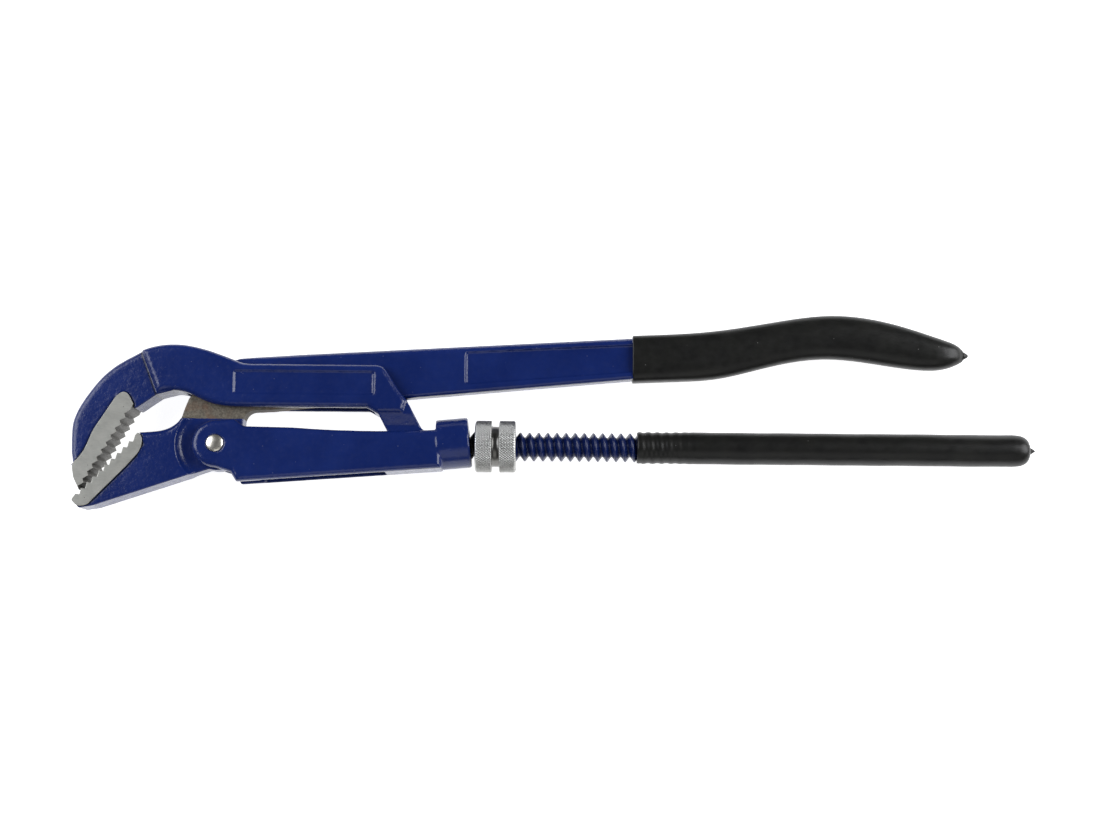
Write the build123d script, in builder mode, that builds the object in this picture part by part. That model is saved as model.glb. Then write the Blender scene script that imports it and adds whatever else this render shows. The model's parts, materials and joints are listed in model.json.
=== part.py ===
"""Adjustable S-jaw pipe wrench, 1 1/2 inch size, built as its separate forgings, sleeve, nut, rivet, grips.

The wrench lies flat. X runs along the threaded rod towards the grips, Y towards the upper handle, Z up.
Every outline is drawn from the pivot rivet, on the bench plane through the middle of the wrench's thickness.
"""

import os
from math import cos, radians, sin

from build123d import *

# Where the pivot lies from the middle of the wrench's box, and the height of the mid plane
PIVOT_X = -147.8
PIVOT_Y = -15.7
MID_HEIGHT = 11.5
BENCH = Plane((PIVOT_X, PIVOT_Y, MID_HEIGHT))
PIVOT_AXIS = Axis((PIVOT_X, PIVOT_Y, 0), (0, 0, 1))

# Half thicknesses, from the mid plane outwards
JAW_HALF = 8.0
PAD_HALF = 8.9
BAR_HALF = 10.0
SLOT_HALF = 5.3
NECK_HALF = 5.0
RECESS_HALF = 5.2
LEG_HALF = 6.3
FLARE_HALF = 8.5
FLARE_FOOT_Y = 8.6
FLARE_TOP_Y = 14.0
SLEEVE_HALF = 10.5
BOSS_GAP_HALF = 5.5
CHANNEL_HALF = 6.8
GRIP_HALF = 6.3

# Threaded rod
ROD_Y = 0.6
ROD_RADIUS = 6.35
ROD_START = 88.0
ROD_END = 349.0
THREAD_PITCH = 4.0
THREAD_DEPTH = 2.1
THREAD_FLAT = 0.5
THREAD_PLAY = 0.15
THREAD_LIP = 0.2
THREAD_START = 100.0
THREAD_TURNS = 28

# Sleeve collar, which stands at a small angle to the rod, and its bore, which doesn't
COLLAR_RADIUS = 11.0
COLLAR_START = (96.0, 0.95)
COLLAR_LENGTH = 14.1
COLLAR_TILT = 5.5
COLLAR_ROUND = 0.8
BORE_PLAY = 0.2
BORE_LENGTH = 25.0
CHANNEL_END = 93.4

# Adjusting nut
NUT_START = 112.4
NUT_LENGTH = 17.8
NUT_RADIUS = 11.4
NUT_GROOVE_RADIUS = 8.85
NUT_GROOVE_WIDTH = 3.2
NUT_CHAMFER = 0.8

# Pivot rivet
RIVET_RADIUS = 3.8
RIVET_PLAY = 0.05
RIVET_DOME = 1.0

# Teeth, along the straight biting edge of each jaw
TOOTH_DEPTH = 1.4
UPPER_TEETH = 11
UPPER_LEAN = 0.7
LOWER_TEETH = 10
LOWER_LEAN = 0.3

# Bar, between the hook jaw and the leg
BAR_TOP = 35.2
BAR_FOOT = 16.3

# Shallow panels forged into the sides of the bar and of the handle, and the draft of their walls
BAR_PANEL_DEPTH = 1.0
BAR_PANEL_DRAFT = 40
HANDLE_PANEL_DEPTH = 1.2
HANDLE_PANEL_DRAFT = 30

# Grips, dipped over the handle and over the rod
GRIP_START = 181.0
GRIP_WALL = 1.3
LOWER_GRIP_START = 183.1
LOWER_GRIP_RADIUS = 7.05

# Edge rounding left by the forging dies and the dipping
FORGED_ROUND = 2.6
HANDLE_TOP_ROUND = 3.6
HANDLE_FOOT_ROUND = 2.0
LEG_ROUND = 1.2
GRIP_ROUND = 1.5


def bench_point(x, y, z=0.0):
    """Place in the wrench's frame of a point given from the pivot."""
    return (PIVOT_X + x, PIVOT_Y + y, MID_HEIGHT + z)


def cross_plane(x, y=0.0):
    """Plane across the wrench at x, with its own x along Y and its own y along Z."""
    return Plane(origin=bench_point(x, y), x_dir=(0, 1, 0), z_dir=(1, 0, 0))


def toothed_edge(start, end, count, lean):
    """Points of a saw edge of equal teeth from start to end, cut to the right of that direction."""
    run = Vector(*end) - Vector(*start)
    step = run * (1 / count)
    inward = Vector(step.Y, -step.X).normalized() * TOOTH_DEPTH
    points = []
    for tooth in range(count):
        tip = Vector(*start) + step * tooth
        points.append(tip)
        points.append(tip + step * lean + inward)
    points.append(Vector(*end))
    return points


def thread_groove(first_turn, turns, play):
    """V groove of the rod's thread over some turns, or the ridge that runs in it when play is taken off."""
    start = THREAD_START + first_turn * THREAD_PITCH
    with BuildPart() as groove:
        with BuildLine() as path:
            Helix(THREAD_PITCH, turns * THREAD_PITCH, ROD_RADIUS, bench_point(start, ROD_Y), (1, 0, 0))
        first = path.line @ 0
        outward = first - Vector(*bench_point(start, ROD_Y))
        with BuildSketch(Plane(origin=first, x_dir=outward, z_dir=path.line % 0)):
            half_mouth = (THREAD_PITCH - THREAD_FLAT) / 2 - play
            half_root = THREAD_FLAT / 2
            slope = (half_mouth - half_root) / THREAD_DEPTH
            with BuildLine():
                Polyline(
                    (THREAD_LIP, half_mouth + THREAD_LIP * slope),
                    (play - THREAD_DEPTH, half_root),
                    (play - THREAD_DEPTH, -half_root),
                    (THREAD_LIP, -half_mouth - THREAD_LIP * slope),
                    close=True,
                )
            make_face()
        sweep(is_frenet=True)
    return groove.part


def grip_outline(inset):
    """Face of the S-curved handle end, as deep as the grip with no inset, or as the steel inside it."""
    crest = [(GRIP_START, 50.1), (214.0, 52.2), (246.0, 57.3), (269.0, 60.0), (299.0, 55.7), (319.0, 49.2)]
    nose = [(326.0, 45.6), (328.0, 42.2), (324.5, 38.8)]
    palm = [(309.0, 36.0), (290.0, 38.3), (267.0, 40.6), (246.0, 38.0), (225.0, 32.7), (GRIP_START, 29.2)]
    points = [(x, y - inset) for x, y in crest]
    points += [(x - inset, y) for x, y in nose]
    points += [(x, y + inset) for x, y in palm]
    with BuildLine() as outline:
        edge = Spline(points, tangents=[(1, 0.05), (-1, -0.05)])
        Line(edge @ 1, edge @ 0)
    return outline.line


# --- Hook jaw, slotted bar, leg and threaded rod: one forging -------------------------------------------

with BuildSketch(BENCH) as jaw_profile:
    with BuildLine():
        crown = Spline(
            (-61.9, -8.5),
            (-61.4, 11.0),
            (-54.4, 24.6),
            (-44.3, 34.5),
            (-33.6, 40.7),
            (-19.0, 43.6),
            tangents=[(0, 1), (1, 0.02)],
        )
        Polyline(
            crown @ 1,
            (-19.0, 23.3),
            (-26.5, 21.4),
            (-35.0, 15.4),
            (-39.5, 13.5),
            (-55.0, -12.5),
            crown @ 0,
        )
    make_face()

with BuildPart() as jaw_blank:
    extrude(jaw_profile.sketch, amount=JAW_HALF, both=True)
    fillet(jaw_blank.edges().filter_by(GeomType.BSPLINE), radius=FORGED_ROUND)

with BuildSketch(BENCH) as bar_profile:
    with BuildLine():
        shoulder = Spline(
            (-33.6, 40.7),
            (-19.0, 43.6),
            (-4.0, 40.9),
            (8.0, 36.5),
            (16.0, BAR_TOP),
            tangents=[(1, 0.45), (1, 0)],
        )
        bar_end = FilletPolyline(
            shoulder @ 1,
            (72.0, BAR_TOP),
            (78.0, 25.5),
            (82.6, 19.4),
            (81.0, 13.9),
            (69.6, 13.9),
            (65.4, BAR_FOOT),
            (12.0, BAR_FOOT),
            radius=[5.0, 8.0, 0, 0, 0, 0],
        )
        belly = Spline(
            bar_end @ 1,
            (-4.0, 18.2),
            (-13.5, 22.3),
            (-21.0, 23.2),
            (-26.0, 22.0),
            tangents=[(-1, 0), (-2.1, -1.0)],
        )
        Polyline(belly @ 1, shoulder @ 0)
    make_face()

with BuildPart() as bar_blank:
    extrude(bar_profile.sketch, amount=BAR_HALF, both=True)
    fillet(bar_blank.faces().filter_by(Axis.Z).edges(), radius=FORGED_ROUND)

with BuildSketch(BENCH) as leg_profile:
    with BuildLine():
        FilletPolyline(
            (69.0, 16.0),
            (82.4, 20.0),
            (89.5, 6.7),
            (92.6, 6.7),
            (92.6, -5.45),
            (80.2, -5.45),
            radius=[0, 0, 3.0, 0, 0, 4.0],
            close=True,
        )
    make_face()

with BuildPart() as leg:
    extrude(leg_profile.sketch, amount=FLARE_HALF, both=True)
    with BuildSketch(cross_plane(ROD_START)):
        with BuildLine():
            Polyline(
                (BAR_TOP, -FLARE_HALF),
                (FLARE_TOP_Y, -FLARE_HALF),
                (FLARE_FOOT_Y, -LEG_HALF),
                (-JAW_HALF, -LEG_HALF),
                (-JAW_HALF, LEG_HALF),
                (FLARE_FOOT_Y, LEG_HALF),
                (FLARE_TOP_Y, FLARE_HALF),
                (BAR_TOP, FLARE_HALF),
                close=True,
            )
        make_face()
    extrude(amount=BAR_TOP, both=True, mode=Mode.INTERSECT)

with BuildSketch(BENCH) as upper_pad_profile:
    with BuildLine():
        bite = Polyline(toothed_edge((-37.4, 14.2), (-58.2, -20.7), UPPER_TEETH, UPPER_LEAN))
        FilletPolyline(
            bite @ 1,
            (-61.0, -15.2),
            (-62.0, -9.4),
            (-57.3, -5.0),
            (-53.1, 5.6),
            (-43.4, 21.0),
            (-40.3, 22.6),
            (-38.2, 20.9),
            (-36.2, 17.0),
            bite @ 0,
            radius=[1.0, 1.0, 3.0, 30.0, 2.0, 2.0, 2.0, 1.0],
        )
    make_face()

with BuildPart() as hook_jaw:
    add(jaw_blank.part)
    add(bar_blank.part)
    add(leg.part)
    with BuildSketch(cross_plane(ROD_START, ROD_Y)):
        Circle(ROD_RADIUS)
    extrude(amount=ROD_END - ROD_START)
    with BuildSketch(BENCH):
        with BuildLine():
            Polyline(
                (-21.5, 12.0),
                (-2.5, 45.0),
                (90.0, 45.0),
                (90.0, 17.6),
                (69.3, 15.0),
                (55.0, 15.0),
                (55.0, 12.0),
                close=True,
            )
        make_face()
    extrude(amount=SLOT_HALF, both=True, mode=Mode.SUBTRACT)
    extrude(upper_pad_profile.sketch, amount=PAD_HALF, both=True)
    for side in (BENCH.offset(BAR_HALF), BENCH.offset(-BAR_HALF)):
        with BuildSketch(side):
            with Locations((37.8, 26.9)):
                RectangleRounded(61.6, 10.8, 1.2)
        inward = 1 if side.origin.Z < MID_HEIGHT else -1
        extrude(amount=inward * BAR_PANEL_DEPTH, taper=BAR_PANEL_DRAFT, mode=Mode.SUBTRACT)
    add(thread_groove(0, THREAD_TURNS, 0), mode=Mode.SUBTRACT)
hook_jaw.part.label = "hook_jaw"

# --- Lever: lower jaw, pivot, neck and handle in one forging --------------------------------------------

with BuildSketch(BENCH) as upper_grip_profile:
    add(grip_outline(0.0))
    make_face()

with BuildPart() as handle_core:
    with BuildSketch(BENCH):
        add(grip_outline(GRIP_WALL))
        make_face()
    extrude(amount=NECK_HALF, both=True)

with BuildPart() as handle_bar:
    with BuildSketch(BENCH):
        with BuildLine():
            Polyline((22.0, 39.6), (188.0, 49.3), (188.0, 31.05), (24.0, 15.7), close=True)
        make_face()
    extrude(amount=NECK_HALF, both=True)
    long_edges = handle_bar.edges().filter_by(lambda edge: edge.length > 100).sort_by(Axis.Y)
    fillet(long_edges[2:], radius=HANDLE_TOP_ROUND)
    long_edges = handle_bar.edges().filter_by(lambda edge: edge.length > 100).sort_by(Axis.Y)
    fillet(long_edges[:2], radius=HANDLE_FOOT_ROUND)

with BuildPart() as lower_jaw_blank:
    with BuildSketch(BENCH):
        with BuildLine():
            throat = Spline(
                (-33.8, 4.9),
                (-27.4, 5.4),
                (-22.2, 6.4),
                (-17.8, 9.0),
                (-16.0, 11.3),
                tangents=[(1, 0.05), (0.4, 1)],
            )
            Polyline(
                throat @ 1,
                (0.0, 11.3),
                (0.0, -9.8),
                (-52.5, -27.4),
                (-60.0, -28.6),
                (-61.4, -25.0),
                (-58.4, -23.8),
                (-33.5, 1.8),
                throat @ 0,
            )
        make_face()
    extrude(amount=JAW_HALF, both=True)
    fillet(lower_jaw_blank.edges().filter_by(GeomType.BSPLINE), radius=FORGED_ROUND)

with BuildPart() as lever:
    add(lower_jaw_blank.part)
    with BuildSketch(Plane(origin=bench_point(0, 0), x_dir=(1, 0, 0), z_dir=(0, -1, 0))):
        with BuildLine():
            recess_floor = Line((0.0, RECESS_HALF), (13.4, RECESS_HALF))
            recess_wall = TangentArc(recess_floor @ 1, (17.8, JAW_HALF), tangent=(1, 0))
            Polyline(recess_wall @ 1, (17.8, JAW_HALF + 1.0), (0.0, JAW_HALF + 1.0), recess_floor @ 0)
        make_face()
        mirror(about=Plane.XZ)
    revolve(axis=PIVOT_AXIS, mode=Mode.SUBTRACT)
    with BuildSketch(BENCH):
        Circle(11.3)
        with BuildLine():
            FilletPolyline(
                (-16.0, 11.0),
                (-15.0, 14.5),
                (-12.6, 20.8),
                (7.0, 38.0),
                (16.0, 39.2),
                (30.0, 40.0),
                (30.0, 16.2),
                (23.0, 15.5),
                (11.2, 14.9),
                (10.8, 3.3),
                (0.0, 0.0),
                (-14.0, -4.0),
                radius=[0, 3.0, 5.0, 12.0, 12.0, 0, 0, 0, 5.0, 0, 0, 0],
                close=True,
            )
        make_face()
    extrude(amount=NECK_HALF, both=True)
    add(handle_bar.part)
    add(handle_core.part)
    with BuildSketch(BENCH):
        with BuildLine():
            bite = Polyline(toothed_edge((-59.8, -22.4), (-35.0, 3.2), LOWER_TEETH, LOWER_LEAN))
            FilletPolyline(
                bite @ 1,
                (-33.6, 4.8),
                (-31.6, 2.0),
                (-32.4, -3.4),
                (-38.6, -10.5),
                (-56.6, -27.8),
                (-61.2, -24.2),
                bite @ 0,
                radius=[0.8, 2.0, 4.0, 8.0, 0.8, 0.5],
            )
        make_face()
    extrude(amount=PAD_HALF, both=True)
    for side in (BENCH.offset(NECK_HALF), BENCH.offset(-NECK_HALF)):
        with BuildSketch(side):
            with BuildLine():
                FilletPolyline(
                    (107.6, 27.2),
                    (107.6, 42.0),
                    (190.0, 46.2),
                    (190.0, 34.0),
                    radius=[1.5, 1.5, 1.5, 1.5],
                    close=True,
                )
            make_face()
        inward = 1 if side.origin.Z < MID_HEIGHT else -1
        extrude(amount=inward * HANDLE_PANEL_DEPTH, taper=HANDLE_PANEL_DRAFT, mode=Mode.SUBTRACT)
    with BuildSketch(BENCH):
        Circle(RIVET_RADIUS + RIVET_PLAY)
    extrude(amount=NECK_HALF + 1.0, both=True, mode=Mode.SUBTRACT)
lever.part.label = "lever"

# --- Sleeve: two cheeks round the pivot and the leg, closed by a collar on the rod ----------------------

with BuildPart() as sleeve:
    with BuildSketch(BENCH):
        with BuildLine():
            front = ThreePointArc((0.0, -10.3), (-10.3, 0.0), (0.0, 10.3))
            brow = FilletPolyline(
                front @ 1,
                (7.8, 11.0),
                (12.0, 7.7),
                (34.0, 7.3),
                radius=[3.0, 3.0],
            )
            back = ThreePointArc(brow @ 1, (70.0, 6.1), (98.0, 7.0))
            Polyline(back @ 1, (98.0, -9.8), (9.4, -16.4), (6.8, -12.4), front @ 0)
        make_face()
    extrude(amount=SLEEVE_HALF, both=True)
    fillet(sleeve.faces().filter_by(Axis.Z).edges(), radius=FORGED_ROUND)
    collar_direction = (cos(radians(COLLAR_TILT)), sin(radians(COLLAR_TILT)), 0)
    with BuildSketch(Plane(origin=bench_point(*COLLAR_START), x_dir=(0, 0, 1), z_dir=collar_direction)):
        Circle(COLLAR_RADIUS)
    extrude(amount=COLLAR_LENGTH)
    fillet(sleeve.edges().filter_by(GeomType.CIRCLE).sort_by(Axis.X)[-1], radius=COLLAR_ROUND)
    with BuildSketch(BENCH):
        with BuildLine():
            Polyline((-12.0, 20.0), (20.0, 20.0), (20.0, -20.0), (-12.0, -20.0), close=True)
        make_face()
    extrude(amount=BOSS_GAP_HALF, both=True, mode=Mode.SUBTRACT)
    with BuildSketch(BENCH):
        with BuildLine():
            Polyline(
                (20.0, 20.0),
                (CHANNEL_END, 20.0),
                (CHANNEL_END, -7.2),
                (73.0, -7.2),
                (73.0, -20.0),
                (20.0, -20.0),
                close=True,
            )
        make_face()
    extrude(amount=CHANNEL_HALF, both=True, mode=Mode.SUBTRACT)
    with BuildSketch(cross_plane(CHANNEL_END - 1.0, ROD_Y)):
        Circle(ROD_RADIUS + BORE_PLAY)
    extrude(amount=BORE_LENGTH, mode=Mode.SUBTRACT)
    with BuildSketch(BENCH):
        Circle(RIVET_RADIUS)
    extrude(amount=SLEEVE_HALF + 1.0, both=True, mode=Mode.SUBTRACT)
sleeve.part.label = "sleeve"

# --- Pivot rivet ----------------------------------------------------------------------------------------

with BuildPart() as pivot_rivet:
    with BuildSketch(Plane(origin=bench_point(0, 0), x_dir=(1, 0, 0), z_dir=(0, -1, 0))):
        with BuildLine():
            shank = Polyline((0.0, 0.0), (RIVET_RADIUS, 0.0), (RIVET_RADIUS, SLEEVE_HALF))
            dome_radius = (RIVET_RADIUS**2 + RIVET_DOME**2) / (2 * RIVET_DOME)
            dome = RadiusArc(shank @ 1, (0.0, SLEEVE_HALF + RIVET_DOME), -dome_radius)
            Line(dome @ 1, shank @ 0)
        make_face()
        mirror(about=Plane.XZ)
    revolve(axis=PIVOT_AXIS)
pivot_rivet.part.label = "pivot_rivet"

# --- Adjusting nut --------------------------------------------------------------------------------------

with BuildPart() as nut_ridge:
    first_turn = (NUT_START - THREAD_START) // THREAD_PITCH - 1
    add(thread_groove(first_turn, NUT_LENGTH // THREAD_PITCH + 3, THREAD_PLAY))
    with BuildSketch(cross_plane(NUT_START, ROD_Y)):
        Circle(ROD_RADIUS + THREAD_PLAY + THREAD_LIP)
    extrude(amount=NUT_LENGTH, mode=Mode.INTERSECT)

with BuildPart() as adjusting_nut:
    with BuildSketch(cross_plane(NUT_START, ROD_Y)):
        Circle(NUT_RADIUS)
    extrude(amount=NUT_LENGTH)
    chamfer(adjusting_nut.edges().filter_by(GeomType.CIRCLE), length=NUT_CHAMFER)
    with BuildSketch(cross_plane(NUT_START + (NUT_LENGTH - NUT_GROOVE_WIDTH) / 2, ROD_Y)):
        Circle(NUT_RADIUS + 1.0)
        Circle(NUT_GROOVE_RADIUS, mode=Mode.SUBTRACT)
    extrude(amount=NUT_GROOVE_WIDTH, mode=Mode.SUBTRACT)
    with BuildSketch(cross_plane(NUT_START, ROD_Y)):
        Circle(ROD_RADIUS + THREAD_PLAY)
    extrude(amount=NUT_LENGTH, mode=Mode.SUBTRACT)
    add(nut_ridge.part)
adjusting_nut.part.label = "adjusting_nut"

# --- Dipped grips ---------------------------------------------------------------------------------------

with BuildPart() as upper_grip:
    extrude(upper_grip_profile.sketch, amount=GRIP_HALF, both=True)
    fillet(upper_grip.edges().filter_by(GeomType.BSPLINE), radius=GRIP_ROUND)
    add(lever.part, mode=Mode.SUBTRACT)
upper_grip.part.label = "upper_grip"

with BuildPart() as lower_grip:
    with BuildSketch(Plane(origin=bench_point(0, ROD_Y), x_dir=(1, 0, 0), z_dir=(0, -1, 0))):
        with BuildLine():
            inside = Polyline((ROD_END, 0.0), (ROD_END, ROD_RADIUS), (LOWER_GRIP_START, ROD_RADIUS))
            outside = Polyline(inside @ 1, (LOWER_GRIP_START, LOWER_GRIP_RADIUS), (347.0, LOWER_GRIP_RADIUS))
            end_cap = Spline(
                outside @ 1,
                (352.6, 5.0),
                (354.4, 1.6),
                (357.2, 0.9),
                (357.8, 0.0),
                tangents=[(1, 0), (0, -1)],
            )
            Line(end_cap @ 1, inside @ 0)
        make_face()
    revolve(axis=Axis(bench_point(0, ROD_Y), (1, 0, 0)))
lower_grip.part.label = "lower_grip"

# --- Written parts --------------------------------------------------------------------------------------

os.makedirs("parts", exist_ok=True)
pieces = (hook_jaw, lever, sleeve, pivot_rivet, adjusting_nut, upper_grip, lower_grip)
for piece in pieces:
    export_step(piece.part, f"parts/{piece.part.label}.step")

whole = Compound(children=[piece.part for piece in pieces]).bounding_box()
print("box", whole.min, whole.max)
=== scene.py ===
"""Looks of the adjustable S-jaw pipe wrench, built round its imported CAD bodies.

Lengths in the shape code are millimetres from the pivot rivet, as in the CAD source; at() turns them into
metres. The forgings are worked over from their CAD solids; the rest is drawn anew from named sizes.
"""

import json
import math

import bmesh
import bpy
import numpy as np
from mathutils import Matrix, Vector
from mathutils.bvhtree import BVHTree


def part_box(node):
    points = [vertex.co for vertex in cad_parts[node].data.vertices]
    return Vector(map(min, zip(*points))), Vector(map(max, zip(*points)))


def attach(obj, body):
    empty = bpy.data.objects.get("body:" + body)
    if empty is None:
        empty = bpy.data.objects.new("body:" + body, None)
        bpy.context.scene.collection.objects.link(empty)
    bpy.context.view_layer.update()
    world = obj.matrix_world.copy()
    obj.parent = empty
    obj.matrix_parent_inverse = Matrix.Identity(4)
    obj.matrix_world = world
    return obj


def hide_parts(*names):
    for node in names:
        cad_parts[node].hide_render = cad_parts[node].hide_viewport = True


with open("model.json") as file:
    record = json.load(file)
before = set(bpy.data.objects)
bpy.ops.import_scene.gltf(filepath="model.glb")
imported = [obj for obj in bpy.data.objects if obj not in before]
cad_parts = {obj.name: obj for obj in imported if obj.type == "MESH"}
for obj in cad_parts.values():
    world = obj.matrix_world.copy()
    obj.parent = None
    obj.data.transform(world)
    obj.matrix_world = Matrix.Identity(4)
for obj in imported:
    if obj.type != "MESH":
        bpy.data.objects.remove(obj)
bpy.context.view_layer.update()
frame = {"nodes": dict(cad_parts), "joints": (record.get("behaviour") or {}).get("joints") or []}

MM = 0.001
JOINTS = {joint["name"]: joint for joint in frame["joints"]}
PIVOT = Vector(JOINTS["handle_pivot"]["pos_m"])
NUT_CENTRE = Vector(JOINTS["nut_turn"]["pos_m"])
ROD_Y = (NUT_CENTRE.y - PIVOT.y) / MM
COLLECTION = bpy.context.scene.collection

# Camera: what it aims at, how far it stands, and how it leans from straight down
AIM = Vector((-2.85, 0.2, PIVOT.z / MM)) * MM
CAMERA_DISTANCE = 0.7875
CAMERA_TILT = math.radians(7.6)
CAMERA_ROLL = math.radians(0.5)
CAMERA_LENS = 58.67
SENSOR_WIDTH = 36.0

# Colours as linear red, green and blue; where there are two, the material clouds between them
BLUE_TONES = ((0.0043, 0.0158, 0.112), (0.0068, 0.0208, 0.134))
THIN_BLUE = (0.010, 0.022, 0.11)
WORN_EDGE_AND_HIGHLIGHT = (0.07, 0.07, 0.12)
# Edge colour: paint worn thin there, and partly a painted highlight
BLUE_DUST = (0.24, 0.26, 0.36)
# Painted shade at the foot of the step between jaw and bar
STEP_PAINTED_SHADE = (0.0012, 0.003, 0.02)
DULL_STEEL = ((0.08, 0.068, 0.05), (0.22, 0.195, 0.15))
RUST = (0.15, 0.07, 0.035)
ROD_BLUE = (0.0020, 0.0065, 0.042)
# Black painted on the rod as shade of the gap between collar and nut
GAP_SHADE_BLACK = (0.012, 0.011, 0.010)
GROUND_STEEL = ((0.35, 0.35, 0.315), (0.46, 0.455, 0.41))
SCRATCH = (0.6, 0.595, 0.55)
PIT = (0.05, 0.045, 0.04)
CUT_STEEL = ((0.055, 0.053, 0.048), (0.17, 0.167, 0.155))
ZINC = (0.57, 0.57, 0.55)
RIVET_STEEL = (0.96, 0.92, 0.80)
# Darker colour laid into the plating's hollows
HOLLOW_DARK = (0.10, 0.098, 0.09)
PVC_BLACK = ((0.0062, 0.0062, 0.0057), (0.0102, 0.0102, 0.0089))
PVC_DUST = (0.25, 0.25, 0.24)

# Threaded rod and nut
ROD_RADIUS = 6.35
ROD_JOIN = 93.4
ROD_END = 349.0
THREAD_START = 100.0
THREAD_END = 212.0
THREAD_PITCH = 4.0
THREAD_DEPTH = 2.1
THREAD_FLAT = 0.5
THREAD_FADE = 3.0
ROD_CHAMFER = 0.8
# End of the painted shade on the rod, at the nut
GAP_SHADE_END = 114.0
NUT_RADIUS = 11.4
NUT_BORE = 6.5
NUT_GROOVE_RADIUS = 8.85
NUT_GROOVE_WIDTH = 3.2
NUT_RIM = 10.5
NUT_SHOULDER = 10.8
KNURL_COUNT = 62
KNURL_LEAD = 1.35
KNURL_DEPTH = 0.42
KNURL_SLOPE = 2.6
KNURL_STEP = 0.17

# Jaws: the pads, their teeth, and the seats cut for them
PAD_HALF = 8.9
TOOTH_DEPTH = 1.4
SEAT_HALF = 10.4
SEAT_GAP = 1.006
PAD_BEVEL = 0.18

# Forgings: the size of their remeshed faces, how often the paint's rounding smooths them, and the share of
# faces kept
HOOK_VOXEL = 0.4
LEVER_VOXEL = 0.42
SLEEVE_VOXEL = 0.38
EDGE_ROUNDS = 7
FACES_KEPT = 0.5

# Foot of the step between jaw and bar, where painted shade darkens the paint: how far from it that begins and
# is full, and the y between which it fades in
STEP_FOOT = ((-33.7, 39.7), (-27.2, 22.6))
STEP_SHADE = (0.65, 0.2)
STEP_FADE_Y = (18.0, 20.0)

# The x between which the forged skin turns coarser and duller, towards the jaws
JAW_SKIN_X = (-14.0, -34.0)

# Steel of the lever that the bar hides at rest: its lowest and highest y, where its slanting end would meet
# y = 0, and how much that end leans
HIDDEN_LOW = 11.35
HIDDEN_HIGH = 34.9
HIDDEN_END = 92.4
HIDDEN_LEAN = 0.62

# Outer left side of the hook jaw: where it is brought out, and by how much
JAW_SIDE_Y = (-10.5, -4.0, 9.0, 24.0)
JAW_SIDE_X = (-60.0, -52.0)
JAW_SIDE_PUSH = 0.9

# Round end of the lower jaw
JAW_END_CENTRE = (-55.3, -24.6)
JAW_END_RADIUS = 4.7

# Lever: half its thickness, and the top edge near the neck, with its height and rounding at each x
NECK_HALF = 5.0
SHOULDER_X = (5.0, 9.0, 16.0, 26.0, 36.0)
SHOULDER_TOP = (36.6, 38.1, 38.9, 39.7, 40.4)
SHOULDER_ROUND = (0.4, 1.6, 2.8, 3.6, 3.6)
SHOULDER_LOW = 33.0

# Steel inside the upper grip: the share of the section it may fill, from how far inside the grip, how square
# it is, how far from the tip its last length begins that is drawn back, by what factor, and its taper
CORE_SHARE = 0.84
CORE_ENTRY = 1.5
CORE_POWER = 2.2
CORE_NOSE = 14.0
CORE_SHRINK = 0.4
CORE_STOP = 7.0
CORE_TAPER = 16.0
CORE_LEAST = 0.05

# Upper grip: how far from its nose it begins to narrow, how squarely, how narrow it ends, and how square its
# section is on the way
GRIP_NOSE_LENGTH = 14.0
GRIP_NOSE_POWER = 2.6
GRIP_NOSE_FLAT = 0.22
GRIP_SECTION_AT = (0.0, 0.15, 0.3, 1.0)
GRIP_SECTION_POWER = (3.4, 3.0, 2.45, 2.3)

# Drip at that nose: how far the root lies from the CAD tip, its length, and half its height on the way
DRIP_ROOT = 1.5
DRIP_LENGTH = 2.6
DRIP_FLATNESS = 0.85
DRIP_WAY = (0.1, 0.3, 0.55, 0.8, 0.94, 1.0)
DRIP_HALF = (1.95, 1.55, 1.2, 0.8, 0.42, 0.03)


def at(x, y, z=0.0):
    """Point in the row frame of a place in millimetres from the pivot."""
    return PIVOT + Vector((x, y, z)) * MM


# --- Materials ------------------------------------------------------------------------------------------


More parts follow.
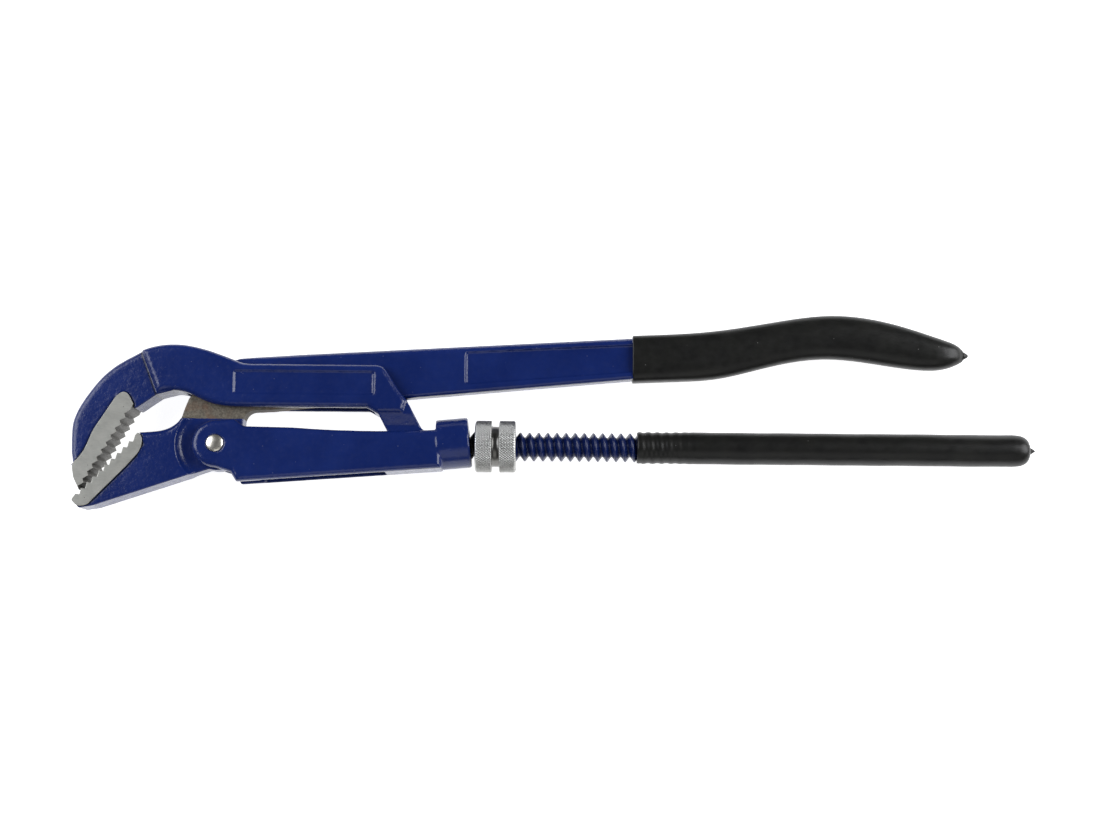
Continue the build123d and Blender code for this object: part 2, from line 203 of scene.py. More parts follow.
class Shading:
    """The node tree of one material, with short ways to add nodes to it."""

    def __init__(self, name):
        self.made = bpy.data.materials.new(name)
        self.made.use_nodes = True
        self.tree = self.made.node_tree
        self.shader = self.tree.nodes["Principled BSDF"]
        place = self.add("TexCoord")
        shift = self.add(
            "Mapping", vector_type="POINT", Vector=place.outputs["Object"]
        )
        shift.inputs["Location"].default_value = -PIVOT / MM
        shift.inputs["Scale"].default_value = (1 / MM,) * 3
        self.place = shift.outputs["Vector"]

    def add(self, kind, _out=None, **given):
        """New node with its settings and sockets, or one output of it."""
        node = self.tree.nodes.new("ShaderNode" + kind)
        for key, value in given.items():
            socket = node.inputs.get(key.replace("_", " "))
            if hasattr(node, key) and key not in node.inputs:
                setattr(node, key, value)
            elif isinstance(value, bpy.types.NodeSocket):
                self.tree.links.new(value, socket)
            else:
                socket.default_value = value
        return node.outputs[_out] if _out is not None else node

    def noise(self, scale, detail=3.0, rough=0.55, stretch=None):
        """Noise with so many waves a millimetre."""
        place = self.place
        if stretch:
            place = self.add("Mapping", "Vector", Vector=place, Scale=stretch)
        return self.add(
            "TexNoise", "Fac", Vector=place, Scale=scale, Detail=detail, Roughness=rough
        )

    def math(self, operation, first, second=0.0):
        """Sum, product or the like of two values or sockets."""
        node = self.tree.nodes.new("ShaderNodeMath")
        node.operation = operation
        for socket, value in zip(node.inputs, (first, second)):
            if isinstance(value, bpy.types.NodeSocket):
                self.tree.links.new(value, socket)
            else:
                socket.default_value = value
        return node.outputs[0]

    def spread(self, value, low, high, to_low=0.0, to_high=1.0):
        """Value from low to high taken to a new range, and kept in it."""
        node = self.tree.nodes.new("ShaderNodeMapRange")
        node.clamp = True
        self.tree.links.new(value, node.inputs["Value"])
        for key, number in zip(
            ("From Min", "From Max", "To Min", "To Max"), (low, high, to_low, to_high)
        ):
            node.inputs[key].default_value = number
        return node.outputs["Result"]

    def mix(self, share, first, second):
        """Colour between the first, at share 0, and the second, at share 1."""
        node = self.tree.nodes.new("ShaderNodeMix")
        node.data_type = "RGBA"
        for index, value in ((0, share), (6, first), (7, second)):
            if isinstance(value, bpy.types.NodeSocket):
                self.tree.links.new(value, node.inputs[index])
            else:
                node.inputs[index].default_value = value if index == 0 else (*value, 1)
        return node.outputs[2]

    def bump(self, height, distance):
        """Normal bent by a height, which counts for that many millimetres."""
        node = self.tree.nodes.new("ShaderNodeBump")
        node.inputs["Strength"].default_value = 1.0
        node.inputs["Distance"].default_value = distance * MM
        self.tree.links.new(height, node.inputs["Height"])
        return node.outputs["Normal"]

    def finish(self, **sockets):
        """Sets or links the shader's sockets, and gives the material."""
        for key, value in sockets.items():
            socket = self.shader.inputs[key.replace("_", " ")]
            if isinstance(value, bpy.types.NodeSocket):
                self.tree.links.new(value, socket)
            else:
                socket.default_value = value
        return self.made


def paint(name, bare=False, dark_rod=False, rough_skin=1.0):
    """Glossy blue paint over a forged skin, worn thin on its edges, which are also lightened as a painted
    highlight.

    With bare, it leaves dull steel where the bar covers the lever. For the rod, the blue is darker, and black
    is painted up to the nut as shade of the gap between collar and nut.
    """
    s = Shading(name)
    peel = s.noise(0.75, 2.0)
    forge = s.noise(0.28, 4.0, 0.6)
    fine = s.noise(3.2, 2.0)
    tone = s.noise(0.06, 3.0)
    blue = s.mix(s.spread(tone, 0.35, 0.65), *BLUE_TONES)
    blue = s.mix(s.spread(forge, 0.5, 0.75, 0.0, 0.3), blue, THIN_BLUE)
    edge = s.add("NewGeometry", "Pointiness")
    # Edges lightened: partly wear, partly painted highlight
    worn_and_highlight = s.math(
        "MULTIPLY",
        s.spread(edge, 0.53, 0.60),
        s.spread(s.noise(0.9, 5.0, 0.7), 0.5, 0.62),
    )
    blue = s.mix(s.math("MULTIPLY", worn_and_highlight, 0.16), blue, WORN_EDGE_AND_HIGHLIGHT)
    speck = s.add("TexVoronoi", "Distance", Vector=s.place, Scale=0.42)
    chosen = s.spread(s.noise(0.31, 0.0), 0.6, 0.64)
    dust = s.math("MULTIPLY", s.spread(speck, 0.1, 0.06), chosen)
    blue = s.mix(s.math("MULTIPLY", dust, 0.35), blue, BLUE_DUST)
    where = s.add("SeparateXYZ", Vector=s.place).outputs
    # Painted shade: the paint darkened along the foot of the step between jaw and bar
    foot = Vector(STEP_FOOT[0])
    across = (Vector(STEP_FOOT[1]) - foot).orthogonal().normalized()
    off = s.math("MULTIPLY", s.math("SUBTRACT", where["X"], foot.x), across.x)
    aside = s.math("MULTIPLY", s.math("SUBTRACT", where["Y"], foot.y), across.y)
    off = s.math("ABSOLUTE", s.math("ADD", off, aside))
    step_shade_share = s.math("MULTIPLY", s.spread(off, *STEP_SHADE), s.spread(where["Y"], *STEP_FADE_Y))
    blue = s.mix(s.math("MULTIPLY", step_shade_share, 0.85), blue, STEP_PAINTED_SHADE)
    height = s.math("ADD", s.math("MULTIPLY", peel, 0.6), s.math("MULTIPLY", forge, 1.1))
    height = s.math("ADD", height, s.math("MULTIPLY", fine, 0.08))
    coarse = s.spread(where["X"], *JAW_SKIN_X, 0.7, 1.1)
    normal = s.bump(s.math("MULTIPLY", height, coarse), 0.2 * rough_skin)
    rough = s.spread(s.noise(0.5, 4.0), 0.3, 0.7, 0.14, 0.27)
    rough = s.math("ADD", rough, s.spread(where["X"], *JAW_SKIN_X, 0.0, 0.06))
    metal = 0.0
    if bare:
        x, y = where["X"], where["Y"]
        wobble = s.math("MULTIPLY", s.noise(0.8, 2.0), 0.3)
        height_y = s.math("ADD", y, wobble)
        inside = s.spread(height_y, HIDDEN_LOW, HIDDEN_LOW + 0.15)
        inside = s.math(
            "MULTIPLY", inside, s.spread(height_y, HIDDEN_HIGH, HIDDEN_HIGH - 0.3)
        )
        slope = s.math("ADD", x, s.math("MULTIPLY", y, HIDDEN_LEAN))
        inside = s.math("MULTIPLY", inside, s.spread(slope, HIDDEN_END, HIDDEN_END - 0.5))
        scale = s.noise(1.3, 5.0, 0.7)
        steel = s.mix(s.spread(scale, 0.35, 0.65), *DULL_STEEL)
        rust = s.spread(s.noise(0.16, 3.0), 0.5, 0.68, 0.0, 0.5)
        steel = s.mix(rust, steel, RUST)
        blue = s.mix(inside, blue, steel)
        rough = s.math("ADD", rough, s.math("MULTIPLY", inside, 0.4))
        metal = s.math("MULTIPLY", inside, 0.3)
    if dark_rod:
        # Painted shade: the rod black up to the nut, for the gap between collar and nut
        gap_shade = s.spread(where["X"], GAP_SHADE_END + 1, GAP_SHADE_END)
        blue = s.mix(0.6, blue, ROD_BLUE)
        blue = s.mix(gap_shade, blue, GAP_SHADE_BLACK)
        rough = s.math("ADD", rough, 0.05)
    return s.finish(
        Base_Color=blue, Roughness=rough, Metallic=metal, Normal=normal, IOR=1.5
    )


def ground_steel(name):
    """Tooth pads ground flat, with fine scratches and a few pits, and dark where the teeth are cut."""
    s = Shading(name)
    along = s.noise(1.0, 4.0, 0.65, (0.35, 4.5, 1.0))
    pits = s.add("TexVoronoi", "Distance", Vector=s.place, Scale=0.55)
    chosen = s.spread(s.noise(0.4, 0.0), 0.58, 0.62)
    pit = s.math("MULTIPLY", s.spread(pits, 0.13, 0.05), chosen)
    cloud = s.noise(0.22, 4.0)
    colour = s.mix(s.spread(cloud, 0.3, 0.7), *GROUND_STEEL)
    colour = s.mix(s.spread(along, 0.35, 0.7, 0.0, 0.35), colour, SCRATCH)
    colour = s.mix(pit, colour, PIT)
    up = s.add("SeparateXYZ", "Z", Vector=s.place)
    flank = s.spread(s.math("ABSOLUTE", up), PAD_HALF - 0.1, PAD_HALF - 0.35)
    cut = s.noise(1.0, 3.0, 0.6, (1.0, 1.0, 5.0))
    dark = s.mix(s.spread(cut, 0.35, 0.65), *CUT_STEEL)
    colour = s.mix(flank, colour, dark)
    height = s.math("SUBTRACT", s.math("MULTIPLY", along, 0.3), pit)
    return s.finish(
        Base_Color=colour,
        Metallic=0.85,
        Roughness=s.spread(along, 0.2, 0.8, 0.36, 0.52),
        Normal=s.bump(height, 0.06),
    )


def zinc(name, rough_low, rough_high, tone):
    """Bright plating with faint clouding, darker in its hollows."""
    s = Shading(name)
    cloud = s.noise(0.5, 4.0)
    colour = s.mix(s.spread(cloud, 0.3, 0.7), tone, tuple(c * 0.86 for c in tone))
    # Darker in the hollows, found by the surface's pointiness
    hollow = s.spread(s.add("NewGeometry", "Pointiness"), 0.49, 0.44)
    colour = s.mix(s.math("MULTIPLY", hollow, 0.85), colour, HOLLOW_DARK)
    return s.finish(
        Base_Color=colour,
        Metallic=1.0,
        Roughness=s.spread(cloud, 0.3, 0.7, rough_low, rough_high),
        Normal=s.bump(s.noise(2.2, 3.0), 0.015),
    )


def pvc(name):
    """Dipped black PVC: satin, softly uneven, with a few dust specks."""
    s = Shading(name)
    grain = s.noise(2.4, 3.0)
    swell = s.noise(0.12, 2.0)
    tone = s.mix(s.spread(swell, 0.35, 0.65), *PVC_BLACK)
    speck = s.add("TexVoronoi", "Distance", Vector=s.place, Scale=0.26)
    dust = s.math(
        "MULTIPLY", s.spread(speck, 0.06, 0.035), s.spread(s.noise(0.2, 0.0), 0.56, 0.6)
    )
    tone = s.mix(s.math("MULTIPLY", dust, 0.6), tone, PVC_DUST)
    height = s.math("ADD", s.math("MULTIPLY", grain, 0.2), swell)
    return s.finish(
        Base_Color=tone,
        Roughness=s.spread(s.noise(0.35, 4.0), 0.3, 0.7, 0.3, 0.42),
        Normal=s.bump(height, 0.10),
        IOR=1.4,
    )


BLUE = paint("blue_paint")
BLUE_LEVER = paint("blue_paint_lever", bare=True)
BLUE_ROD = paint("blue_paint_rod", dark_rod=True, rough_skin=0.45)
PAD_STEEL = ground_steel("ground_tooth_steel")
NUT_ZINC = zinc("bright_zinc", 0.26, 0.36, ZINC)
RIVET_METAL = zinc("rivet_steel", 0.24, 0.34, RIVET_STEEL)
BLACK_PVC = pvc("black_pvc")


# --- Shapes ---------------------------------------------------------------------------------------------


def object_of(mesh, name, body, material):
    """New piece on a body and with a material."""
    piece = bpy.data.objects.new(name, mesh)
    COLLECTION.objects.link(piece)
    mesh.materials.clear()
    mesh.materials.append(material)
    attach(piece, body)
    return piece


def skin(name, rings, closed):
    """Mesh over rings of points: joined end to end when closed, otherwise each end capped."""
    rings = np.asarray(rings)
    count, sides = rings.shape[:2]
    index = np.arange(count * sides).reshape(count, sides)
    following = np.roll(index, -1, axis=0) if closed else index[1:]
    start = index if closed else index[:-1]
    faces = np.stack(
        [start, np.roll(start, -1, 1), np.roll(following, -1, 1), following], axis=-1
    )
    faces = faces.reshape(-1, 4).tolist()
    if not closed:
        faces += [index[0][::-1].tolist(), index[-1].tolist()]
    mesh = bpy.data.meshes.new(name)
    mesh.from_pydata(rings.reshape(-1, 3).tolist(), [], faces)
    work = bmesh.new()
    work.from_mesh(mesh)
    bmesh.ops.remove_doubles(work, verts=work.verts, dist=0.001 * MM)
    bmesh.ops.recalc_face_normals(work, faces=work.faces)
    for face in work.faces:
        face.smooth = True
    work.to_mesh(mesh)
    work.free()
    return mesh


def turned(name, stations, sides, radius_of, closed=False):
    """Mesh turned round the rod's axis through (x, radius) stations, each radius changed by radius_of."""
    x, r = np.array(stations, float).T
    angle = np.linspace(0, 2 * math.pi, sides, endpoint=False)
    along, turn = np.meshgrid(x, angle, indexing="ij")
    radius = radius_of(along, turn, np.repeat(r[:, None], sides, 1))
    rings = np.stack(
        [along, ROD_Y + radius * np.cos(turn), radius * np.sin(turn)], axis=-1
    )
    return skin(name, rings * MM + np.array(PIVOT), closed)


def rounded(corners, reach, steps=5):
    """Outline through corners, each cut round by its own reach."""
    line = []
    count = len(corners)
    for i, (corner, r) in enumerate(zip(corners, reach)):
        here = Vector(corner)
        before, after = Vector(corners[i - 1]), Vector(corners[(i + 1) % count])
        if not r:
            line.append(here)
            continue
        a = here + (before - here).normalized() * min(r, (before - here).length * 0.45)
        b = here + (after - here).normalized() * min(r, (after - here).length * 0.45)
        for step in range(steps + 1):
            t = step / steps
            line.append(a * (1 - t) ** 2 + here * 2 * t * (1 - t) + b * t**2)
    return line


def saw(start, end, count, lean):
    """Corners of a toothed edge from start to end, its teeth cut to the right."""
    first, run = Vector(start), Vector(end) - Vector(start)
    step = run / count
    inward = Vector((step.y, -step.x)).normalized() * TOOTH_DEPTH
    line = []
    for tooth in range(count):
        tip = first + step * tooth
        line += [tip, tip + step * lean + inward]
    return [tuple(p) for p in line + [Vector(end)]]


def prism(name, outline, half):
    """Closed plate with that outline, half to each side of the mid plane."""
    work = bmesh.new()
    low = [work.verts.new(at(x, y, -half)) for x, y in outline]
    high = [work.verts.new(at(x, y, half)) for x, y in outline]
    work.faces.new(low)
    work.faces.new(high)
    for i in range(len(outline)):
        work.faces.new((low[i - 1], low[i], high[i], high[i - 1]))
    bmesh.ops.recalc_face_normals(work, faces=work.faces)
    mesh = bpy.data.meshes.new(name)
    work.to_mesh(mesh)
    work.free()
    return mesh


def settle(piece):
    """Puts a piece's modifiers into its mesh."""
    graph = bpy.context.evaluated_depsgraph_get()
    mesh = bpy.data.meshes.new_from_object(piece.evaluated_get(graph))
    piece.modifiers.clear()
    piece.data = mesh


def tooth_pad(name, body, node, outline):
    """Ground pad with its teeth, edges broken by a small bevel."""
    piece = object_of(prism(name, outline, PAD_HALF), name, body, PAD_STEEL)
    bevel = piece.modifiers.new("broken_edges", "BEVEL")
    bevel.width, bevel.segments, bevel.limit_method = PAD_BEVEL * MM, 2, "ANGLE"
    bevel.angle_limit = math.radians(35)
    settle(piece)
    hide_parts(node)


def forged(name, body, node, voxel, material, cutters=(), end=None, relief=0.10):
    """Copy of a CAD solid with the soft edges and uneven skin of a painted forging, which stands for it."""
    work = bmesh.new()
    work.from_mesh(frame["nodes"][node].data)
    bmesh.ops.remove_doubles(work, verts=work.verts, dist=0.002 * MM)
    if end is not None:
        cut = bmesh.ops.bisect_plane(
            work,
            geom=work.verts[:] + work.edges[:] + work.faces[:],
            plane_co=at(end, 0),
            plane_no=(1, 0, 0),
            clear_outer=True,
        )
        rim = [e for e in cut["geom_cut"] if isinstance(e, bmesh.types.BMEdge)]
        bmesh.ops.contextual_create(work, geom=rim)
    mesh = bpy.data.meshes.new(name)
    work.to_mesh(mesh)
    work.free()
    piece = object_of(mesh, name, body, material)
    for cutter in cutters:
        taken = piece.modifiers.new("pad_seat", "BOOLEAN")
        taken.object, taken.operation, taken.solver = cutter, "DIFFERENCE", "EXACT"
    remesh = piece.modifiers.new("skin", "REMESH")
    remesh.mode, remesh.voxel_size, remesh.use_smooth_shade = "VOXEL", voxel * MM, True
    soften = piece.modifiers.new("paint_edges", "SMOOTH")
    soften.factor, soften.iterations = 0.5, EDGE_ROUNDS
    uneven = piece.modifiers.new("forge_skin", "DISPLACE")
    uneven.texture = FORGE_SKIN
    uneven.texture_coords = "LOCAL"
    uneven.strength, uneven.mid_level = relief * MM, 0.5
    thin = piece.modifiers.new("lighter", "DECIMATE")
    thin.ratio = FACES_KEPT
    settle(piece)
    for cutter in cutters:
        bpy.data.objects.remove(cutter)
    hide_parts(node)
    return piece


def depth_finder(node):
    """Gives the lowest and highest y of a CAD node on the mid plane at some x, in metres."""
    source = frame["nodes"][node].data
    tree = BVHTree.FromPolygons(
        [v.co for v in source.vertices], [tuple(p.vertices) for p in source.polygons]
    )

    def depth(x):
        up = tree.ray_cast(Vector((x, -1, PIVOT.z)), Vector((0, 1, 0)))[0]
        down = tree.ray_cast(Vector((x, 1, PIVOT.z)), Vector((0, -1, 0)))[0]
        return (up.y, down.y) if up and down else None

    return depth


def slim_core(piece):
    """Draws the steel inside the upper grip in under the grip's rounded sections."""
    low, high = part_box("upper_grip")
    depth = depth_finder("upper_grip")
    half_width = (high.z - low.z) / 2
    for vertex in piece.data.vertices:
        x, y, z = vertex.co
        if x < low.x + CORE_ENTRY * MM:
            continue
        nose = high.x - CORE_NOSE * MM
        x = x if x < nose else nose + (x - nose) * CORE_SHRINK
        found = depth(x)
        middle, half = (found[0] + found[1]) / 2, (found[1] - found[0]) / 2
        left = high.x - CORE_STOP * MM - x
        near = min(1.0, max(CORE_LEAST, left / (CORE_TAPER * MM)))
        reach = CORE_SHARE * math.sqrt(1 - (1 - near) ** 2)
        high_share = abs((y - middle) / half)
        wide_share = abs((z - PIVOT.z) / half_width)
        off = (high_share**CORE_POWER + wide_share**CORE_POWER) ** (1 / CORE_POWER)
        fit = reach / off if off > reach else 1.0
        vertex.co = (x, middle + (y - middle) * fit, PIVOT.z + (z - PIVOT.z) * fit)


def fill_out_jaw(piece):
    """Brings the outer left side of the hook jaw out until it is flush with the tooth pad."""
    for vertex in piece.data.vertices:
        x, y, z = (vertex.co - PIVOT) / MM
        share = float(np.interp(y, JAW_SIDE_Y, (0.0, 1.0, 1.0, 0.0)))
        share *= float(np.interp(x, JAW_SIDE_X, (1.0, 0.0)))
        vertex.co = at(x - JAW_SIDE_PUSH * share, y, z)


def round_jaw_end(piece):
    """Rounds the lower jaw's end under the tooth pad."""
    for vertex in piece.data.vertices:
        x, y, z = (vertex.co - PIVOT) / MM
        out = Vector((x - JAW_END_CENTRE[0], y - JAW_END_CENTRE[1]))
        if max(out) < 0 and out.length > JAW_END_RADIUS:
            out *= JAW_END_RADIUS / out.length
            vertex.co = at(JAW_END_CENTRE[0] + out.x, JAW_END_CENTRE[1] + out.y, z)


def round_shoulder(piece):
    """Carries the handle's rounded top edge on over the neck, where it dies out."""
    for vertex in piece.data.vertices:
        x, y, z = (vertex.co - PIVOT) / MM
        if not SHOULDER_X[0] < x < SHOULDER_X[-1] + 2 or y < SHOULDER_LOW:
            continue
        top = float(np.interp(x, SHOULDER_X, SHOULDER_TOP))
        radius = float(np.interp(x, SHOULDER_X, SHOULDER_ROUND))
        over = Vector((y - (top - radius), abs(z) - (NECK_HALF - radius)))
        if min(over) > 0 and over.length > radius:
            over *= radius / over.length
            y, z = top - radius + over.x, math.copysign(NECK_HALF - radius + over.y, z)
            vertex.co = at(x, y, z)
        elif y > top:
            vertex.co = at(x, top, z)


def cutter_of(outline):
    """Plate a little larger than a pad, to cut its seat in a forging."""
    middle = sum(outline, Vector((0, 0))) / len(outline)
    wide = [middle + (p - middle) * SEAT_GAP for p in outline]
    cutter = bpy.data.objects.new("seat_cutter", prism("seat_cutter", wide, SEAT_HALF))
    COLLECTION.objects.link(cutter)
    return cutter


FORGE_SKIN = bpy.data.textures.new("forge_skin", "CLOUDS")
FORGE_SKIN.noise_scale = 3.2 * MM
FORGE_SKIN.noise_depth = 2

# --- Jaws and forgings ----------------------------------------------------------------------------------

upper_teeth = saw((-37.4, 14.2), (-58.2, -20.7), 11, 0.7)
upper_back = [
    (-61.0, -15.2),
    (-62.0, -9.4),
    (-57.3, -5.0),
    (-53.1, 5.6),
    (-43.4, 21.0),
    (-40.3, 22.6),
    (-38.2, 20.9),
    (-36.2, 17.0),
]
upper_reach = [0.0] * len(upper_teeth) + [1.0, 2.0, 6.0, 2.0, 2.0, 2.0, 1.0, 0.0]
upper_outline = rounded(upper_teeth + upper_back, upper_reach)
lower_teeth = saw((-59.8, -22.4), (-35.0, 3.2), 10, 0.3)
lower_back = [
    (-33.6, 4.8),
    (-31.6, 2.0),
    (-32.4, -3.4),
    (-38.6, -10.5),
    (-54.6, -27.1),
    (-58.8, -27.8),
    (-61.5, -25.0),
]
lower_reach = [0.0] * len(lower_teeth) + [1.6, 3.0, 3.0, 1.0, 1.4, 1.8, 0.8]
lower_outline = rounded(lower_teeth + lower_back, lower_reach)

tooth_pad("upper_tooth_pad", "hook_leg", "hook_jaw", upper_outline)
tooth_pad("lower_tooth_pad", "lever", "lever", lower_outline)

upper_seat = rounded([(-36.3, 13.4), (-57.6, -22.3)] + upper_back, [0.0, 0.0] + upper_reach[-8:])
lower_seat = rounded([(-60.8, -23.4), (-36.0, 3.6)] + lower_back, [0.0, 0.0] + lower_reach[-7:])
hook = forged(
    "hook_jaw_forging",
    "hook_leg",
    "hook_jaw",
    HOOK_VOXEL,
    BLUE,
    [cutter_of(upper_seat)],
    end=ROD_JOIN + 0.4,
)
fill_out_jaw(hook)
lever = forged(
    "lever_forging", "lever", "lever", LEVER_VOXEL, BLUE_LEVER, [cutter_of(lower_seat)]
)
slim_core(lever)
round_shoulder(lever)
round_jaw_end(lever)
forged("sleeve_forging", "sleeve", "sleeve", SLEEVE_VOXEL, BLUE, relief=0.08)

# --- Threaded rod ---------------------------------------------------------------------------------------


def thread_radius(x, angle, radius):
    """Radius of the rod with its V thread, which fades out at both ends."""
    phase = ((x - THREAD_START) / THREAD_PITCH - angle / (2 * math.pi)) % 1.0
    off = np.abs(phase - 0.5) * THREAD_PITCH
    wall = (off - THREAD_FLAT / 2) / ((THREAD_PITCH - THREAD_FLAT) / 2 - THREAD_FLAT / 2)
    depth = THREAD_DEPTH * (1 - np.clip(wall, 0, 1))
    fade = np.clip((x - THREAD_START) / THREAD_FADE, 0, 1)
    fade = fade * np.clip((THREAD_END - x) / THREAD_FADE, 0, 1)
    return radius - depth * fade


thread_x = np.arange(THREAD_START, THREAD_END + 0.01, 0.25)
rod_stations = [(ROD_JOIN, 6.0), (ROD_JOIN + 0.6, ROD_RADIUS)]
rod_stations += [(x, ROD_RADIUS) for x in thread_x]
rod_stations += [(x, ROD_RADIUS) for x in np.linspace(THREAD_END + 4, ROD_END - ROD_CHAMFER, 24)]
rod_stations += [(ROD_END, ROD_RADIUS - ROD_CHAMFER)]
rod = object_of(
    turned("threaded_rod", rod_stations, 96, thread_radius),
    "threaded_rod",
    "hook_leg",
    BLUE_ROD,
)
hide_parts("hook_jaw")

# --- Nut ------------------------------------------------------------------------------------------------


def knurled(x, angle, radius):
    """Radius cut by two crossing families of V grooves where the blank stands at full radius."""
    cell = KNURL_COUNT * angle / (2 * math.pi)
    ridges = []
    for way in (1, -1):
        phase = (cell + way * x / KNURL_LEAD) % 1.0
        ridges.append(np.clip(KNURL_SLOPE * np.abs(phase - 0.5), 0, 1))
    full = np.clip((radius - (NUT_RADIUS - 0.7)) / 0.6, 0, 1)
    return radius - KNURL_DEPTH * (1 - np.minimum(*ridges)) * full


nut_low, nut_high = (
    (corner.x - PIVOT.x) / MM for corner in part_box("adjusting_nut")
)
groove_low = (nut_low + nut_high - NUT_GROOVE_WIDTH) / 2
groove_high = groove_low + NUT_GROOVE_WIDTH
nut_stations = [(nut_low, NUT_BORE + 0.9), (nut_low, NUT_RIM)]
nut_stations += [(nut_low + 0.15, NUT_SHOULDER)]
nut_stations += [(x, NUT_RADIUS) for x in np.arange(nut_low + 0.75, groove_low - 0.2, KNURL_STEP)]
nut_stations += [(groove_low - 0.1, NUT_RADIUS - 0.3), (groove_low, NUT_RADIUS - 0.7)]
nut_stations += [(groove_low, NUT_GROOVE_RADIUS + 0.3), (groove_low + 0.3, NUT_GROOVE_RADIUS)]
nut_stations += [(groove_high - 0.3, NUT_GROOVE_RADIUS), (groove_high, NUT_GROOVE_RADIUS + 0.3)]
nut_stations += [(groove_high, NUT_RADIUS - 0.7), (groove_high + 0.1, NUT_RADIUS - 0.3)]
nut_stations += [(x, NUT_RADIUS) for x in np.arange(groove_high + 0.3, nut_high - 0.7, KNURL_STEP)]
nut_stations += [(nut_high - 0.15, NUT_SHOULDER), (nut_high, NUT_RIM), (nut_high, NUT_BORE + 0.9)]
nut_stations += [(nut_high - 0.9, NUT_BORE), (nut_low + 0.9, NUT_BORE)]
nut = object_of(
    turned("knurled_nut", nut_stations, KNURL_COUNT * 8, knurled, closed=True),
    "knurled_nut",
    "nut",
    NUT_ZINC,
)
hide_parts("adjusting_nut")

# --- Grips ----------------------------------------------------------------------------------------------


def smooth_line(points, steps):
    """Points of a Catmull-Rom curve through the given ones."""
    held = [points[0]] + list(points) + [points[-1]]
    line = []
    for a, b, c, d in zip(held, held[1:], held[2:], held[3:]):
        a, b, c, d = (np.array(p, float) for p in (a, b, c, d))
        for t in np.arange(steps) / steps:
            line.append(
                b
                + 0.5 * t * (c - a)
                + t * t * (a - 2.5 * b + 2 * c - 0.5 * d)
                + t**3 * (1.5 * b - 1.5 * c + 0.5 * d - 0.5 * a)
            )
    return [tuple(p) for p in line] + [tuple(points[-1])]


LOWER_GRIP_RADIUS = 7.05
RIPPLE_DEPTH = 0.34
RIPPLE_FADE = 16.0
RIPPLE_END = 216.0
LOWER_NOSE_START = 346.0
COAT_SLACK = 0.065
grip_low = (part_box("lower_grip")[0].x - PIVOT.x) / MM


def dipped(x, angle, radius):
    """Grip radius: thread ripples that fade along it, and the slow unevenness of a dipped coat."""
    phase = (x - THREAD_START) / THREAD_PITCH - angle / (2 * math.pi)
    fade = np.clip((THREAD_END - 1 - x) / RIPPLE_FADE, 0, 1) * np.clip((x - grip_low) / 2, 0.3, 1)
    ripple = RIPPLE_DEPTH * fade * (np.cos(2 * math.pi * phase) - 1) * 0.5
    slow = 0.035 * np.sin(x * 0.31 + 2 * angle) + 0.03 * np.sin(x * 0.13 - angle)
    return np.where(radius > 3, radius - COAT_SLACK + ripple + slow, radius)


lower_stations = [(grip_low, 6.5), (grip_low + 0.1, 6.8), (grip_low + 0.5, 7.0)]
lower_stations += [(x, LOWER_GRIP_RADIUS) for x in np.arange(grip_low + 1.0, RIPPLE_END, 0.3)]
lower_stations += [(x, LOWER_GRIP_RADIUS) for x in np.arange(RIPPLE_END + 1, LOWER_NOSE_START, 2.0)]
lower_stations += smooth_line(
    [
        (347.2, LOWER_GRIP_RADIUS),
        (351.0, 6.65),
        (353.6, 5.3),
        (354.8, 3.2),
        (355.2, 1.75),
        (356.4, 0.95),
        (357.7, 0.02),
    ],
    5,
)
lower_grip = object_of(
    turned("lower_dipped_grip", lower_stations, 72, dipped),
    "lower_dipped_grip",
    "hook_leg",
    BLACK_PVC,
)
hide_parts("lower_grip")


def upper_grip_rings():
    """Rounded sections along the S-curved handle, as deep as the CAD grip at each place."""
    depth = depth_finder("upper_grip")
    low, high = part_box("upper_grip")
    start, tip = low.x, high.x - DRIP_ROOT * MM
    half_width = (high.z - low.z) / 2
    closing = 1 - 0.07 * np.cos(np.linspace(0, math.pi / 2, 18)[1:])
    share = np.concatenate([[0.0, 0.0006, 0.002], np.linspace(0.005, 0.93, 90), closing])
    sides = 72
    turn = np.linspace(0, 2 * math.pi, sides, endpoint=False)
    rings = []
    for number, t in enumerate(share):
        x = start + (tip - start) * min(t, 0.9995)
        low_y, high_y = depth(x + 0.001 * MM)
        middle, half = (low_y + high_y) / 2, (high_y - low_y) / 2
        near = (tip - x) / (GRIP_NOSE_LENGTH * MM)
        blunt = max(GRIP_NOSE_FLAT, math.sqrt(1 - max(0.0, 1 - near) ** GRIP_NOSE_POWER))
        lip = (0.93, 0.975, 0.995)[number] if number < 3 else 1.0
        width = half_width * lip * blunt
        half *= lip
        power = 2 / float(np.interp(t, GRIP_SECTION_AT, GRIP_SECTION_POWER))
        y = np.sign(np.cos(turn)) * np.abs(np.cos(turn)) ** power * half + middle
        z = np.sign(np.sin(turn)) * np.abs(np.sin(turn)) ** power * width + PIVOT.z
        rings.append(np.stack([np.full(sides, x), y, z], axis=-1))
    for way, half in zip(DRIP_WAY, DRIP_HALF):
        x = tip + way * DRIP_LENGTH * MM
        y = np.cos(turn) * half * MM + middle
        z = np.sin(turn) * half * DRIP_FLATNESS * MM + PIVOT.z
        rings.append(np.stack([np.full(sides, x), y, z], axis=-1))
    return rings


upper_grip = object_of(
    skin("upper_dipped_grip", upper_grip_rings(), False),
    "upper_dipped_grip",
    "lever",
    BLACK_PVC,
)
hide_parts("upper_grip")

# --- Rivet ----------------------------------------------------------------------------------------------

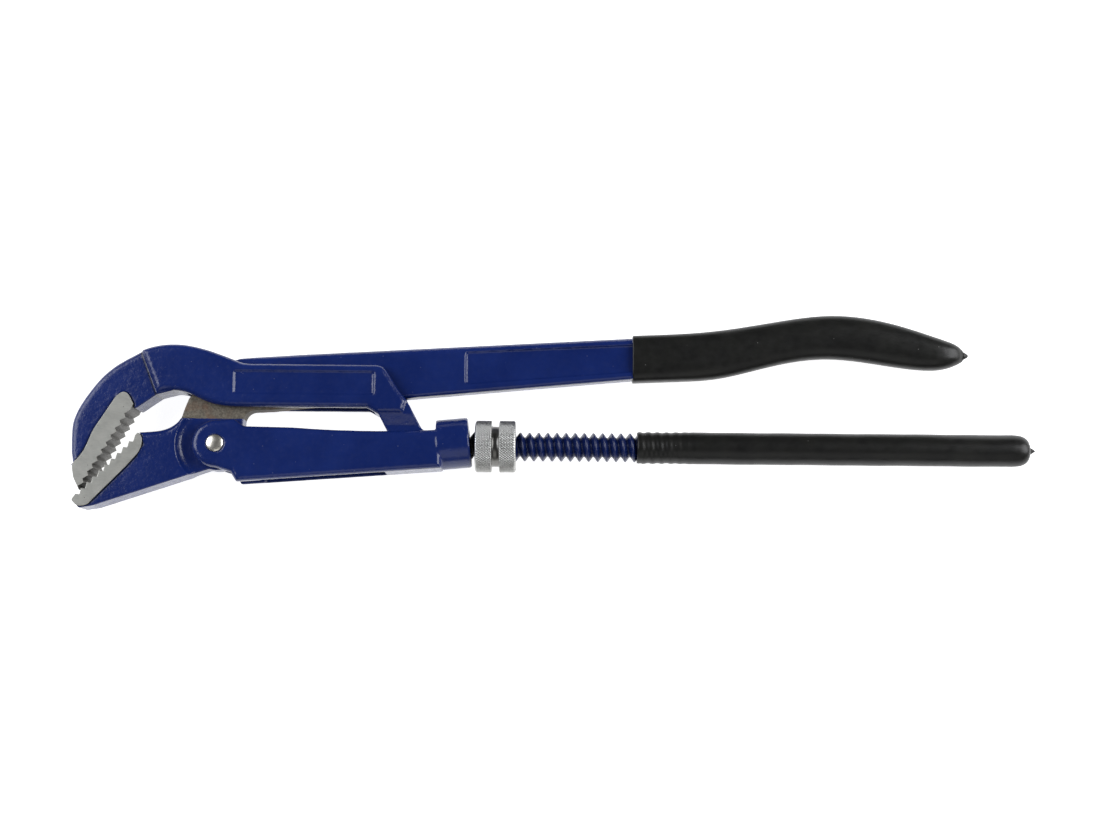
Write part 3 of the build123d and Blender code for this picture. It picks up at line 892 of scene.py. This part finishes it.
rivet_low, rivet_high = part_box("pivot_rivet")
RIVET_RADIUS = (rivet_high.x - rivet_low.x) / 2 / MM
RIVET_HALF = (rivet_high.z - rivet_low.z) / 2 / MM
RIVET_DOME = 1.0
RIVET_RIM = 0.25
sweep = np.linspace(1, 0, 16)
head = [
    (
        (RIVET_RADIUS - 0.02) * max(t, 0.003),
        RIVET_HALF
        - (RIVET_DOME - RIVET_RIM) * t**2
        - RIVET_RIM * (1 - math.sqrt(1 - t**8)),
    )
    for t in sweep
]
spin = np.linspace(0, 2 * math.pi, 64, endpoint=False)
rivet_rings = [
    [at(r * math.cos(a), r * math.sin(a), z) for a in spin]
    for r, z in [(r, -z) for r, z in head[::-1]] + head
]
rivet = object_of(
    skin("domed_rivet", rivet_rings, False), "domed_rivet", "sleeve", RIVET_METAL
)
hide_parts("pivot_rivet")


# --- Stage, in metres -----------------------------------------------------------------------------------

FLOOR = 60.0
FLOOR_DROP = 0.0004
floor_mesh = bpy.data.meshes.new("floor")
floor_mesh.from_pydata(
    [(-FLOOR, -FLOOR, 0), (FLOOR, -FLOOR, 0), (FLOOR, FLOOR, 0), (-FLOOR, FLOOR, 0)],
    [],
    [(0, 1, 2, 3)],
)
floor = bpy.data.objects.new("floor", floor_mesh)
COLLECTION.objects.link(floor)
floor.location.z = -FLOOR_DROP
white = bpy.data.materials.new("white_floor")
white.use_nodes = True
white_shader = white.node_tree.nodes["Principled BSDF"]
white_shader.inputs["Base Color"].default_value = (0.6, 0.6, 0.6, 1)
white_shader.inputs["Roughness"].default_value = 0.9
white_shader.inputs["Emission Color"].default_value = (1, 1, 1, 1)
white_shader.inputs["Emission Strength"].default_value = 0.94
floor_mesh.materials.append(white)

world = bpy.data.worlds.new("studio")
world.use_nodes = True
world.node_tree.nodes["Background"].inputs["Color"].default_value = (0.93, 0.95, 1.0, 1)
world.node_tree.nodes["Background"].inputs["Strength"].default_value = 0.08
bpy.context.scene.world = world


def softbox(name, place, size, power, colour=(1.0, 1.0, 1.0)):
    """Square area light, aimed at the middle of the wrench."""
    light = bpy.data.lights.new(name, "AREA")
    light.size, light.energy, light.color = size, power, colour
    lamp = bpy.data.objects.new(name, light)
    COLLECTION.objects.link(lamp)
    lamp.location = place
    lamp.rotation_euler = (AIM - Vector(place)).to_track_quat("-Z", "Y").to_euler()


softbox("left_softbox", (-1.22, 0.35, 0.88), 1.15, 18.0, (0.92, 0.94, 1.0))
softbox("right_softbox", (1.28, 0.3, 0.88), 1.2, 24.0, (0.97, 0.98, 1.0))
softbox("front_softbox", (0.1, -1.15, 0.95), 1.1, 2.6)

camera = bpy.data.objects.new("camera", bpy.data.cameras.new("camera"))
COLLECTION.objects.link(camera)
camera.data.sensor_width = SENSOR_WIDTH
camera.data.lens = CAMERA_LENS
camera.rotation_euler = (CAMERA_TILT, 0, CAMERA_ROLL)
back = camera.rotation_euler.to_matrix() @ Vector((0, 0, 1))
camera.location = AIM + back * CAMERA_DISTANCE
bpy.context.scene.camera = camera
bpy.context.scene.view_settings.view_transform = "Standard"
